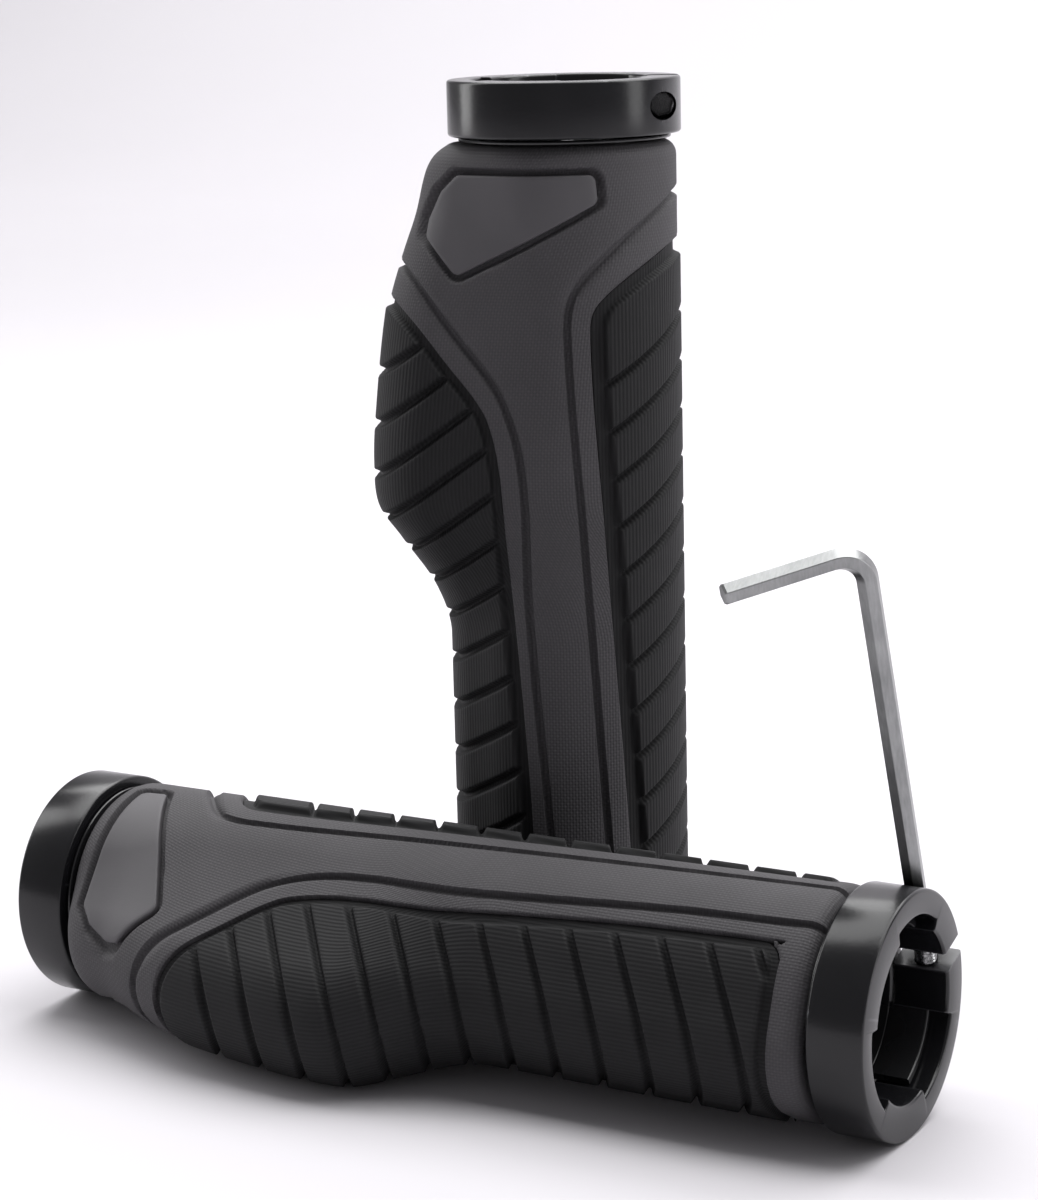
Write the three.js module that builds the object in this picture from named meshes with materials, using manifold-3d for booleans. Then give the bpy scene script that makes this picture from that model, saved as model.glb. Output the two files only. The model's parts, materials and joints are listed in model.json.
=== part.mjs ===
// Pair of lock-on handlebar grips with a palm wing, and the hex key that tightens their clamp screws.
// Units are millimetres, +Z is up. One grip lies on its wing, the other stands behind it.
// Grip frame: +Z runs to the outboard end, +X points out of the palm wing, +Y to the upper face.
import * as THREE from 'three';
import { mergeVertices } from 'three/addons/utils/BufferGeometryUtils.js';
import Module from 'manifold-3d';

const wasm = await Module();
wasm.setup();

// ---- Driving dimensions ----
const GRIP_LENGTH = 130.2;
const BAR_DIAMETER = 22.2;
const BAR_CLEARANCE = 0.1;
const SLEEVE_WALL = 1.1;
const FIT = 0.2;
const RING_DIAMETER = 32;
const RING_WIDTH = 7.6;
const RING_CHAMFER = 0.5;
const COLLAR_WIDTH = 0.5;
const COLLAR_DIAMETER = 29.2;
const RUBBER_RADIUS = 15.3;
const WING_TIP_RADIUS = 9.9;
const WING_REACH = 27.2;
const PALM_REACH = 17;
const PAD_RISE = 0.4;
const END_ROUNDING = 2.2;
const PAD_DEPTH = 1.7;
const RIB_DEPTH = 1.05;
const RIB_GROOVE = 1.2;
const RIB_PITCH = 6.8;
const PALM_RIB_SLOPE = 0.75;
const FINGER_RIB_SLOPE = 1.05;
const BORDER_GROOVE = 0.9;
const BORDER_GROOVE_DEPTH = 0.7;
const INLAY_DEPTH = 1.2;
const INLAY_SINK = 0.2;
const RECESS_CLEARANCE = 0.4;
const RECESS_HALF_ANGLE = 30;
const TAB_HALF_ANGLE = 26;
const TAB_LENGTH = 5;
const TAB_STEP = 0.05;
const SLOT_WIDTH = 2.7;
const SCREW_OFFSET = 13.2;
const SCREW_SHANK_DIAMETER = 2.9;
const SCREW_HEAD_DIAMETER = 3.6;
const SCREW_HEAD_LENGTH = 2.0;
const SCREW_SEAT = 2.6;
const SCREW_TIP = 5.5;
const SCREW_RUNNING_FIT = 0.08;
const SOCKET_DEPTH = 1.5;
const KEY_ACROSS_FLATS = 2.5;
const KEY_FIT = 0.1;
const KEY_LONG_ARM = 56;
const KEY_SHORT_ARM = 18;
const KEY_BEND_RADIUS = 4;
const KEY_TURN = -45;
const STANDING_TURN = 30.6;
const STANDING_X = 64.7;
const PAIR_GAP = 0.3;

// Outlines on the upper face: [distance toward the wing, distance from the outboard face].
const WING_PROFILE = [[9, 0.02], [12, 0.2], [18, 0.36], [24, 0.57], [31, 0.77], [46, 0.96], [53, 1],
  [58.5, 0.95], [63, 0.66], [70, 0.2], [77, 0], [121, 0]];
const PALM_BORDER = [[34, 25.4], [25.2, 28.9], [16.8, 38.2], [11.6, 46], [9.6, 62], [7.3, 93], [6.5, 112]];
const PALM_PAD_END = 116.4;
const PALM_PAD_CORNER = [[7.4, 115.2], [10, PALM_PAD_END]];
const FINGER_BORDER = [[-22, 18], [-15.3, 22], [-4.4, 29.3], [-2.9, 34], [-4.5, 62], [-6.7, 96], [-7.6, 113]];
const FINGER_PAD_END = 117.4;
const FINGER_PAD_CORNER = [[-8.6, 116.2], [-11, FINGER_PAD_END]];
const PALM_GROOVE = [[31, 19], [23.3, 24.5], [15.7, 34], [9.9, 42], [7.1, 52], [6.4, 72], [4.2, 103],
  [3.7, 116], [3.2, 124]];
const FINGER_GROOVE = [[-22, 10.5], [-15.1, 15.6], [-5.6, 23], [-0.4, 28.4], [0.4, 36], [-1.2, 61],
  [-3.4, 96], [-4.6, 116], [-5, 124]];
const INLAY_OUTLINE = [[14.6, 12.3], [-4.1, 12.2], [-4.2, 16.2], [15.2, 26], [19.4, 20.8], [18.9, 18.1],
  [17.2, 14.6]];
const PALM_RIB_START = 20.1;
const FINGER_RIB_START = 29.4;
// The outlines are drawn for this length; past the wing they stretch with the grip.
const DRAWN_LENGTH = 129;
const WING_LENGTH = 77;

// ---- Derived sizes ----
const RING_RADIUS = RING_DIAMETER / 2;
const BORE_RADIUS = BAR_DIAMETER / 2 + BAR_CLEARANCE;
const SLEEVE_RADIUS = BORE_RADIUS + SLEEVE_WALL;
const RECESS_RADIUS = SLEEVE_RADIUS + RECESS_CLEARANCE;
const RUBBER_BORE = SLEEVE_RADIUS + FIT;
const COLLAR_START = RING_WIDTH + FIT;
const RUBBER_START = COLLAR_START + COLLAR_WIDTH + FIT;
const RUBBER_END = GRIP_LENGTH - RUBBER_START;
const STRETCH = (GRIP_LENGTH - WING_LENGTH) / (DRAWN_LENGTH - WING_LENGTH);
const RIB_COUNT = Math.floor((GRIP_LENGTH - FINGER_RIB_START - RUBBER_START) / RIB_PITCH);
const LIE_ANGLE = Math.asin((RING_RADIUS - WING_TIP_RADIUS - PAD_RISE) / (WING_REACH - WING_TIP_RADIUS));
const RADIANS = Math.PI / 180;
const ROUND_SEGMENTS = 32;
const SKIN_SEGMENTS = 26;

// ---- Solid helpers ----
function signedVolume(position, index) {
  const corner = (i) => new THREE.Vector3().fromArray(position, 3 * index[i]);
  let volume = 0;
  for (let i = 0; i < index.length; i += 3) {
    volume += corner(i).dot(corner(i + 1).cross(corner(i + 2)));
  }
  return volume;
}

// Welds a geometry into a closed body with its faces out.
function solid(geometry) {
  const bare = geometry.clone();
  bare.deleteAttribute('normal');
  bare.deleteAttribute('uv');
  const merged = mergeVertices(bare, 1e-5);
  const position = Float32Array.from(merged.attributes.position.array);
  const index = Uint32Array.from(merged.index.array);
  if (signedVolume(position, index) < 0) {
    for (let i = 0; i < index.length; i += 3) {
      [index[i], index[i + 1]] = [index[i + 1], index[i]];
    }
  }
  return new wasm.Manifold(new wasm.Mesh({ numProp: 3, vertProperties: position, triVerts: index }));
}

function geometryOf(manifold) {
  const mesh = manifold.getMesh();
  const geometry = new THREE.BufferGeometry();
  geometry.setAttribute('position', new THREE.Float32BufferAttribute(mesh.vertProperties, 3));
  geometry.setIndex(Array.from(mesh.triVerts));
  return geometry;
}

function unite(list) {
  return list.reduce((sum, item) => sum.add(item));
}

function block(size, centre, tilt = 0) {
  return solid(new THREE.BoxGeometry(...size).rotateY(tilt).translate(...centre));
}

// A turned body about Z from a closed [radius, height] profile.
function turned(profile) {
  const points = [...profile, profile[0]].map(([r, z]) => new THREE.Vector2(r, z));
  return solid(new THREE.LatheGeometry(points, ROUND_SEGMENTS).rotateX(Math.PI / 2));
}

// A round or six-sided rod along Y.
function rodAlongY(radius, from, to, x, z, segments, turn = 0) {
  const geometry = new THREE.CylinderGeometry(radius, radius, to - from, segments, 1, false, turn);
  return solid(geometry.translate(x, (from + to) / 2, z));
}

// Closed skin over a list of rings that all hold the same number of points.
function skin(rings) {
  const count = rings[0].length;
  const last = (rings.length - 1) * count;
  const index = [];
  for (let k = 0; k < rings.length - 1; k += 1) {
    for (let i = 0; i < count; i += 1) {
      const a = k * count + i;
      const b = k * count + (i + 1) % count;
      index.push(a, b, b + count, a, b + count, a + count);
    }
  }
  for (let i = 1; i < count - 1; i += 1) {
    index.push(0, i + 1, i, last, last + i, last + i + 1);
  }
  const geometry = new THREE.BufferGeometry();
  geometry.setAttribute('position', new THREE.Float32BufferAttribute(rings.flat(2), 3));
  geometry.setIndex(index);
  return solid(geometry);
}

// A plate cut to an outline seen from the upper face, running from y = low to y = high.
function plate(outline, low, high) {
  const shape = new THREE.Shape(outline.map(([x, s]) => new THREE.Vector2(x, GRIP_LENGTH - s)));
  const geometry = new THREE.ExtrudeGeometry(shape, { depth: high - low, bevelEnabled: false });
  return solid(geometry.rotateX(Math.PI / 2).translate(0, high, 0));
}

// A ring sector in the X-Y plane.
function sector(inner, outer, middle, half, from, to) {
  const shape = new THREE.Shape();
  shape.absarc(0, 0, outer, (middle - half) * RADIANS, (middle + half) * RADIANS, false);
  shape.absarc(0, 0, inner, (middle + half) * RADIANS, (middle - half) * RADIANS, true);
  const options = { depth: to - from, bevelEnabled: false, curveSegments: 5 };
  return solid(new THREE.ExtrudeGeometry(shape, options).translate(0, 0, from));
}

// Distance from the outboard face on this grip for one on the drawn grip.
function stretched(s) {
  return s < WING_LENGTH ? s : WING_LENGTH + (s - WING_LENGTH) * STRETCH;
}

function smoothLine(points, samples) {
  const curve = new THREE.SplineCurve(points.map(([x, s]) => new THREE.Vector2(x, stretched(s))));
  return curve.getPoints(samples).map((p) => [p.x, p.y]);
}

// ---- Grip outside shape ----
function wingShare(s) {
  const table = WING_PROFILE;
  let k = 0;
  while (k < table.length - 2 && s > table[k + 1][0]) {
    k += 1;
  }
  const slope = (i) => {
    const a = table[Math.max(i - 1, 0)];
    const b = table[Math.min(i + 1, table.length - 1)];
    return i < 1 || i > table.length - 3 ? 0 : (b[1] - a[1]) / (b[0] - a[0]);
  };
  const [s0, v0] = table[k];
  const [s1, v1] = table[k + 1];
  const h = s1 - s0;
  const t = Math.min(Math.max((s - s0) / h, 0), 1);
  const t2 = t * t;
  const t3 = t2 * t;
  return v0 * (2 * t3 - 3 * t2 + 1) + v1 * (3 * t2 - 2 * t3)
    + h * (slope(k) * (t3 - 2 * t2 + t) + slope(k + 1) * (t3 - t2));
}

// Distance from the bar axis to the skin: two circles joined by their tangents.
function skinRadius(angle, s, offset) {
  const reach = PALM_REACH + (WING_REACH - PALM_REACH) * wingShare(s);
  const centre = reach - WING_TIP_RADIUS;
  const big = RUBBER_RADIUS + offset;
  const small = WING_TIP_RADIUS + offset;
  const tangent = Math.acos((big - small) / centre);
  const turn = Math.abs(Math.atan2(Math.sin(angle), Math.cos(angle)));
  if (turn >= tangent) {
    return big;
  }
  if (turn > Math.atan2(small * Math.sin(tangent), centre + small * Math.cos(tangent))) {
    return big / Math.cos(turn - tangent);
  }
  return centre * Math.cos(turn) + Math.sqrt(small ** 2 - (centre * Math.sin(turn)) ** 2);
}

function skinRing(z, offset) {
  return Array.from({ length: SKIN_SEGMENTS }, (_, i) => {
    const turn = 2 * Math.PI * i / SKIN_SEGMENTS;
    const angle = turn - 0.4 * Math.sin(turn);
    const radius = skinRadius(angle, GRIP_LENGTH - z, offset);
    return [radius * Math.cos(angle), radius * Math.sin(angle), z];
  });
}

// Where the rings of points lie that carry the outside shape, from the inboard end.
const SKIN_STATIONS = [116.5, 77, 71, 66, 62, 58, 53, 46, 38.5, 31, 24, 18, 12.5]
  .map((s) => GRIP_LENGTH - stretched(s));

// The whole outside as one body, grown or shrunk by an offset.
function skinBody(offset) {
  const middle = SKIN_STATIONS.map((z) => skinRing(z, offset));
  return skin([skinRing(4, offset), ...middle, skinRing(GRIP_LENGTH - 4, offset)]);
}

// The outside with its two ends rounded over.
function roundedBody() {
  const middle = SKIN_STATIONS.map((z) => skinRing(z, 0));
  const arc = [0, 30, 60, 90].map((degrees) => ({
    drop: END_ROUNDING * (1 - Math.sin(degrees * RADIANS)),
    run: END_ROUNDING * (1 - Math.cos(degrees * RADIANS)),
  }));
  const low = arc.map(({ drop, run }) => skinRing(RUBBER_START + run, -drop));
  const high = arc.map(({ drop, run }) => skinRing(RUBBER_END - run, -drop)).reverse();
  return skin([...low, ...middle, ...high]);
}

// ---- Outlines ----
function palmOutline(margin) {
  const edge = smoothLine(PALM_BORDER, 14).map(([x, s]) => [x - margin, s - margin]);
  const corner = PALM_PAD_CORNER.map(([x, s]) => [x - margin, stretched(s) + margin]);
  const beyond = 2 * WING_REACH;
  return [...edge, ...corner, [beyond, corner[1][1]], [beyond, edge[0][1]]];
}

function fingerOutline(margin) {
  const edge = smoothLine(FINGER_BORDER, 14).map(([x, s]) => [x + margin, s - margin]);
  const corner = FINGER_PAD_CORNER.map(([x, s]) => [x + margin, stretched(s) + margin]);
  const beyond = -2 * WING_REACH;
  return [...edge, ...corner, [beyond, corner[1][1]], [beyond, edge[0][1]]];
}

// The panel's outline, each corner moved away from the middle by about the margin.
function inlayOutline(margin) {
  const centre = INLAY_OUTLINE.reduce((sum, [x, s]) => [sum[0] + x, sum[1] + s], [0, 0])
    .map((value) => value / INLAY_OUTLINE.length);
  return INLAY_OUTLINE.map(([x, s]) => {
    const reach = Math.hypot(x - centre[0], s - centre[1]);
    const scale = 1 + 1.4 * margin / reach;
    return [centre[0] + (x - centre[0]) * scale, centre[1] + (s - centre[1]) * scale];
  });
}

// A strip of even width that follows a line, for the border grooves.
function strip(points, width) {
  const line = smoothLine(points, 16);
  const side = (sign) => line.map((_, i) => {
    const a = line[Math.max(i - 1, 0)];
    const b = line[Math.min(i + 1, line.length - 1)];
    const length = Math.hypot(b[0] - a[0], b[1] - a[1]);
    const normal = [-(b[1] - a[1]) / length, (b[0] - a[0]) / length];
    return [line[i][0] + sign * width / 2 * normal[0], line[i][1] + sign * width / 2 * normal[1]];
  });
  return plate([...side(1), ...side(-1).reverse()], -30, 30);
}

// ---- Sub-parts of one grip ----
function padCore() {
  return skinBody(-PAD_DEPTH - FIT);
}

function rubberBody() {
  const palmPocket = plate(palmOutline(FIT), -40, 40).subtract(padCore());
  const fingerPocket = plate(fingerOutline(FIT), -40, 40).subtract(padCore());
  const inlayPocket = plate(inlayOutline(FIT), -40, 40).subtract(skinBody(-INLAY_DEPTH - INLAY_SINK - FIT));
  const grooves = strip(PALM_GROOVE, BORDER_GROOVE).add(strip(FINGER_GROOVE, BORDER_GROOVE))
    .subtract(skinBody(-BORDER_GROOVE_DEPTH));
  const bore = turned([[0, -1], [RUBBER_BORE, -1], [RUBBER_BORE, GRIP_LENGTH + 1], [0, GRIP_LENGTH + 1]]);
  return roundedBody().subtract(unite([palmPocket, fingerPocket, inlayPocket, grooves])).subtract(bore);
}

// Straight grooves across a pad; each one crosses both faces and meets itself at the edge.
function ribGrooves(start, slope, centreX) {
  const tilt = Math.atan(slope);
  return unite(Array.from({ length: RIB_COUNT }, (_, i) => {
    const s = start + RIB_PITCH * i;
    return block([90, 90, RIB_GROOVE], [centreX, 0, GRIP_LENGTH - s], tilt);
  }));
}

function pad(outline, grooves) {
  const whole = plate(outline, -40, 40).intersect(skinBody(PAD_RISE)).subtract(skinBody(-PAD_DEPTH));
  return whole.subtract(grooves.subtract(skinBody(PAD_RISE - RIB_DEPTH)));
}

function palmPad() {
  return pad(palmOutline(0), ribGrooves(PALM_RIB_START, PALM_RIB_SLOPE, 0));
}

function fingerPad() {
  return pad(fingerOutline(0), ribGrooves(FINGER_RIB_START, FINGER_RIB_SLOPE, -RUBBER_RADIUS));
}

function smoothInlay(side) {
  const reach = side > 0 ? [2, 40] : [-40, -2];
  return plate(inlayOutline(0), ...reach).intersect(skinBody(-INLAY_SINK))
    .subtract(skinBody(-INLAY_DEPTH - INLAY_SINK));
}

// Core tube with a collar and three clamp tabs at each end.
function coreSleeve() {
  const far = GRIP_LENGTH;
  const collarEnd = COLLAR_START + COLLAR_WIDTH;
  const collar = COLLAR_DIAMETER / 2;
  const tube = turned([
    [BORE_RADIUS, COLLAR_START], [collar, COLLAR_START], [collar, collarEnd], [SLEEVE_RADIUS, collarEnd],
    [SLEEVE_RADIUS, far - collarEnd], [collar, far - collarEnd], [collar, far - COLLAR_START],
    [BORE_RADIUS, far - COLLAR_START],
  ]);
  const tabs = [0, 120, 240].flatMap((middle) => [
    [RING_WIDTH - TAB_LENGTH, COLLAR_START + COLLAR_WIDTH / 2],
    [far - COLLAR_START - COLLAR_WIDTH / 2, far - RING_WIDTH + TAB_LENGTH],
  ].map(([from, to]) => sector(
    BORE_RADIUS + TAB_STEP, SLEEVE_RADIUS, middle, TAB_HALF_ANGLE, from, to)));
  return unite([tube, ...tabs]);
}

// Split clamp ring from z = 0 to its width, slot on the finger side.
function clampRing() {
  const c = RING_CHAMFER;
  const ring = turned([
    [BORE_RADIUS, 0], [RING_RADIUS - c, 0], [RING_RADIUS, c],
    [RING_RADIUS, RING_WIDTH - c], [RING_RADIUS - c, RING_WIDTH], [BORE_RADIUS, RING_WIDTH],
  ]);
  const recesses = [0, 120, 240].map((middle) => sector(
    BORE_RADIUS - 2, RECESS_RADIUS, middle, RECESS_HALF_ANGLE, -1, RING_WIDTH + 1));
  const slot = block([RING_RADIUS, SLOT_WIDTH, RING_WIDTH + 2], [-RING_RADIUS, 0, RING_WIDTH / 2]);
  const shaft = SCREW_SHANK_DIAMETER / 2 + SCREW_RUNNING_FIT;
  const head = SCREW_HEAD_DIAMETER / 2 + FIT / 2;
  const middle = RING_WIDTH / 2;
  const bore = rodAlongY(shaft, -SCREW_TIP - FIT, SCREW_SEAT + 1, -SCREW_OFFSET, middle, 24);
  const mouth = rodAlongY(head, SCREW_SEAT, RING_RADIUS, -SCREW_OFFSET, middle, 24);
  return ring.subtract(unite([...recesses, slot, bore, mouth]));
}

function clampScrew() {
  const middle = RING_WIDTH / 2;
  const top = SCREW_SEAT + SCREW_HEAD_LENGTH;
  const seat = SCREW_SEAT + SCREW_RUNNING_FIT;
  const shank = rodAlongY(SCREW_SHANK_DIAMETER / 2, -SCREW_TIP, seat + 0.5, -SCREW_OFFSET, middle, 24);
  const head = rodAlongY(SCREW_HEAD_DIAMETER / 2, seat, top, -SCREW_OFFSET, middle, 24);
  const across = (KEY_ACROSS_FLATS / 2 + KEY_FIT) / Math.cos(Math.PI / 6);
  const turn = (KEY_TURN - 90) * RADIANS;
  const socket = rodAlongY(across, top - SOCKET_DEPTH, top + 1, -SCREW_OFFSET, middle, 6, turn);
  return shank.add(head).subtract(socket);
}

// Six-sided key in the clamp ring's own frame, its long arm along +Y out of the screw.
function hexKey() {
  const start = SCREW_SEAT + SCREW_HEAD_LENGTH - SOCKET_DEPTH + KEY_FIT;
  const radius = KEY_ACROSS_FLATS / 2 / Math.cos(Math.PI / 6);
  const turn = KEY_TURN * RADIANS;
  const sideways = new THREE.Vector3(Math.cos(turn), 0, -Math.sin(turn));
  const across = new THREE.Vector3(Math.sin(turn), 0, Math.cos(turn));
  const up = new THREE.Vector3(0, 1, 0);
  const foot = new THREE.Vector3(-SCREW_OFFSET, start, RING_WIDTH / 2);
  const straight = KEY_LONG_ARM - KEY_BEND_RADIUS;
  const bendCentre = foot.clone().addScaledVector(up, straight).addScaledVector(sideways, KEY_BEND_RADIUS);
  const section = (centre, away) => Array.from({ length: 6 }, (_, i) => {
    const angle = Math.PI * i / 3;
    return centre.clone().addScaledVector(away, radius * Math.cos(angle))
      .addScaledVector(across, radius * Math.sin(angle)).toArray();
  });
  const bend = Array.from({ length: 8 }, (_, i) => {
    const angle = Math.PI / 2 * i / 7;
    const away = sideways.clone().multiplyScalar(-Math.cos(angle)).addScaledVector(up, Math.sin(angle));
    return section(bendCentre.clone().addScaledVector(away, KEY_BEND_RADIUS), away);
  });
  const tip = foot.clone().addScaledVector(up, KEY_LONG_ARM).addScaledVector(sideways, KEY_SHORT_ARM);
  return skin([section(foot, sideways.clone().negate()), ...bend, section(tip, up)]);
}

// ---- Assembly ----
const MATERIALS = {
  rubber: new THREE.MeshStandardMaterial({ color: 0x5a585d, roughness: 0.85, metalness: 0 }),
  pad: new THREE.MeshStandardMaterial({ color: 0x2a2a2d, roughness: 0.8, metalness: 0 }),
  inlay: new THREE.MeshStandardMaterial({ color: 0x66636a, roughness: 0.5, metalness: 0 }),
  sleeve: new THREE.MeshStandardMaterial({ color: 0x101012, roughness: 0.35, metalness: 0 }),
  ring: new THREE.MeshStandardMaterial({ color: 0x1c1c20, roughness: 0.35, metalness: 0.8 }),
  screw: new THREE.MeshStandardMaterial({ color: 0xb8b8bc, roughness: 0.3, metalness: 1 }),
  key: new THREE.MeshStandardMaterial({ color: 0xa8a8ac, roughness: 0.35, metalness: 1 }),
};

const SHAPES = {
  rubber_body: [rubberBody(), 'rubber'],
  palm_pad: [palmPad(), 'pad'],
  finger_pad: [fingerPad(), 'pad'],
  upper_inlay: [smoothInlay(1), 'inlay'],
  lower_inlay: [smoothInlay(-1), 'inlay'],
  core_sleeve: [coreSleeve(), 'sleeve'],
  ring: [clampRing(), 'ring'],
  screw: [clampScrew(), 'screw'],
  hex_key: [hexKey(), 'key'],
};

function part(name, shape) {
  const [manifold, material] = SHAPES[shape];
  const mesh = new THREE.Mesh(geometryOf(manifold), MATERIALS[material].clone());
  mesh.name = name;
  return mesh;
}

// A clamp ring with its screw; both are the same at either end of the grip.
function clamp(prefix, height) {
  const clampGroup = new THREE.Group();
  clampGroup.add(part(`${prefix}_ring`, 'ring'), part(`${prefix}_screw`, 'screw'));
  clampGroup.position.z = height;
  return clampGroup;
}

// One grip, placed so that its Z runs along `axis` and its X along `wing`.
function grip(prefix, origin, axis, wing) {
  const gripGroup = new THREE.Group();
  ['rubber_body', 'palm_pad', 'finger_pad', 'upper_inlay', 'lower_inlay', 'core_sleeve']
    .forEach((name) => gripGroup.add(part(`${prefix}_${name}`, name)));
  gripGroup.add(clamp(`${prefix}_inboard`, 0));
  gripGroup.add(clamp(`${prefix}_outboard`, GRIP_LENGTH - RING_WIDTH));
  const face = new THREE.Vector3().crossVectors(axis, wing);
  gripGroup.quaternion.setFromRotationMatrix(new THREE.Matrix4().makeBasis(wing, face, axis));
  gripGroup.position.copy(origin);
  return gripGroup;
}

const lyingGrip = grip(
  'lying',
  new THREE.Vector3(GRIP_LENGTH, 0, RING_RADIUS),
  new THREE.Vector3(-1, 0, 0),
  new THREE.Vector3(0, -Math.cos(LIE_ANGLE), -Math.sin(LIE_ANGLE)),
);
lyingGrip.add(part('hex_key', 'hex_key'));
const standingGrip = grip(
  'standing',
  new THREE.Vector3(STANDING_X, 2 * (RUBBER_RADIUS + PAD_RISE) + PAIR_GAP, 0),
  new THREE.Vector3(0, 0, 1),
  new THREE.Vector3(-Math.cos(STANDING_TURN * RADIANS), -Math.sin(STANDING_TURN * RADIANS), 0),
);

// The origin goes to the middle of the footprint, on the floor.
const pair = new THREE.Group();
pair.name = 'handlebar_grips';
pair.add(lyingGrip, standingGrip);
pair.updateMatrixWorld(true);
const bounds = new THREE.Box3().setFromObject(pair, true);
const middle = bounds.getCenter(new THREE.Vector3());
pair.children.forEach((child) => {
  child.position.sub(new THREE.Vector3(middle.x, middle.y, bounds.min.z));
});

export default pair;
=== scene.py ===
"""Pair of lock-on handlebar grips with a palm wing and their hex key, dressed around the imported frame.

Shapes are drawn in millimetres in a grip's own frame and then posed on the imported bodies:
Z runs to the outboard end, X points out of the palm wing and Y to the upper face.
s is the distance from the outboard face, x the distance toward the wing.
"""
import json
import math

import bmesh
import bpy
import numpy as np
from mathutils import Matrix, Vector


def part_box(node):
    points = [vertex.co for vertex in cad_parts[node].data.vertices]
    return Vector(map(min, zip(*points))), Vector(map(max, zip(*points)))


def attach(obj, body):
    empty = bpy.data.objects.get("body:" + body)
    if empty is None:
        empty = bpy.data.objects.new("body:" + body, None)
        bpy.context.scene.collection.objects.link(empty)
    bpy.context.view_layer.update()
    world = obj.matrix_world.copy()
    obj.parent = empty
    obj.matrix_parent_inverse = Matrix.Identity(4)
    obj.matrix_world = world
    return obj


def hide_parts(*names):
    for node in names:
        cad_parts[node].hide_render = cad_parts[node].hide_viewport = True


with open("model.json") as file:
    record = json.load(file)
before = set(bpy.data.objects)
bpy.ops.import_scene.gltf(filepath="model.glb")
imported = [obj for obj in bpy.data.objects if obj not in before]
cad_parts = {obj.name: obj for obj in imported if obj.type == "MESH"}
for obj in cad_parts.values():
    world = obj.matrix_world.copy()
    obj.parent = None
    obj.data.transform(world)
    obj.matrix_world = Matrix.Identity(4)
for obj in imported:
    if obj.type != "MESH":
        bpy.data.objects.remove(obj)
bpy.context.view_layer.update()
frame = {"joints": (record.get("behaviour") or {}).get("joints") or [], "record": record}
MM = 0.001
UV_SCALE = 0.01

# ---- Sizes that follow the CAD part ----
RING_RADIUS = 16.0
BORE_RADIUS = 11.2
SLEEVE_RADIUS = 12.3
COLLAR_RADIUS = 14.6
COLLAR_WIDTH = 0.5
FIT = 0.2
RUBBER_RADIUS = 15.3
TIP_RADIUS = 9.9
WING_REACH = 27.2
PALM_REACH = 17.0
PAD_RISE = 0.4
RECESS_RADIUS = 12.7
RECESS_MIDDLES = (0, 120, 240)
RECESS_HALF_ANGLE = 30.0
TAB_HALF_ANGLE = 26.0
TAB_LENGTH = 5.0
TAB_STEP = 0.05
SLOT_WIDTH = 2.7
SCREW_OFFSET = 13.2
SCREW_SEAT = 2.6
SCREW_TOP = 4.6
SCREW_TIP = -5.5
HEAD_RADIUS = 1.8
SHANK_RADIUS = 1.45
SOCKET_DEPTH = 1.5
KEY_ACROSS_FLATS = 2.5
KEY_FIT = 0.1
KEY_LONG_ARM = 56.0
KEY_SHORT_ARM = 18.0
KEY_BEND = 4.0
KEY_TURN = math.radians(-45)

# ---- Detail that the CAD part leaves plain ----
RING_ROUNDING = 0.42
TAB_ROUNDING = 0.25
SHANK_FIT = 0.1
THREAD_PITCH = 0.45
THREAD_DEPTH = 0.16
THREAD_STEP = 0.06
SCREW_TAPER = 0.35
SCREW_TAPER_LENGTH = 0.4
KEY_TIP_SCALE = 0.82
# Reach of the ambient occlusion that paints shade into holes and slots.
HOLLOW_SHADE_REACH = 0.004  # metres

# ---- Relief of the rubber ----
END_ROUNDING = 2.2
PAD_DEPTH = 1.7
PAD_GAP = 0.32
PAD_FLOOR_GAP = 0.15
GROOVE_HALF_WIDTH = 0.62
GROOVE_DEPTH = 0.95
INLAY_POCKET = 1.3
INLAY_POCKET_ROUNDING = 1.8
INLAY_MARGIN = 0.9
INLAY_ROUNDING = 1.1
INLAY_SINK = 0.12
INLAY_FIRST = 10
INLAY_LAST = 29
RIB_PITCH = 6.8
RIB_DEPTH = 1.05
RIB_FLANK = (0.16, 0.66)
RIB_FREE = 9.0
PALM_CHANNEL = 1.25
FINGER_CHANNEL = 1.9
CHANNEL_INNER = 0.4
CHANNEL_OUTER = 0.15
WEAVE_PITCH = 0.42
FINE_LINE_PITCH = 0.56
PALM_RIB_START = 20.1
PALM_RIB_SLOPE = 0.75
FINGER_RIB_START = 31.7
FINGER_RIB_BEND = 5.0
FINGER_RIB_SLOPE = 0.6

# Lines on the upper face as (x, s).
WING_PROFILE = [(9, 0.02), (12, 0.2), (18, 0.36), (24, 0.57), (31, 0.77), (46, 0.96), (53, 1), (58.5, 0.95),
                (63, 0.66), (70, 0.2), (77, 0), (121, 0)]
PALM_BORDER = [(34, 25.4), (25.2, 28.9), (16.8, 38.2), (11.6, 46), (9.6, 62), (7.3, 93), (6.5, 112),
               (6.4, 117)]
PALM_END = 117.3
FINGER_BORDER = [(-22, 18), (-15.3, 22), (-4.4, 29.3), (-2.9, 34), (-4.5, 62), (-6.7, 96),
                 (-7.6, 113), (-7.8, 118)]
FINGER_END = 118.4
PAD_CORNER = 3.0
PALM_GROOVE = [(31, 19), (23.3, 24.5), (15.7, 34), (9.9, 42), (7.1, 52), (6.4, 72), (4.2, 103),
               (3.7, 116), (3.2, 124)]
FINGER_GROOVE = [(-22, 10.5), (-15.1, 15.6), (-5.6, 23), (-0.4, 28.4), (0.4, 36), (-1.2, 61), (-3.4, 96),
                 (-4.6, 116), (-5, 124)]
INLAY_OUTLINE = [(15.4, 11.5), (-4.6, 11.4), (-5.1, 16.6), (15.7, 27.1), (20.5, 21), (19.9, 18.1), (18, 14.1)]
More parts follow.
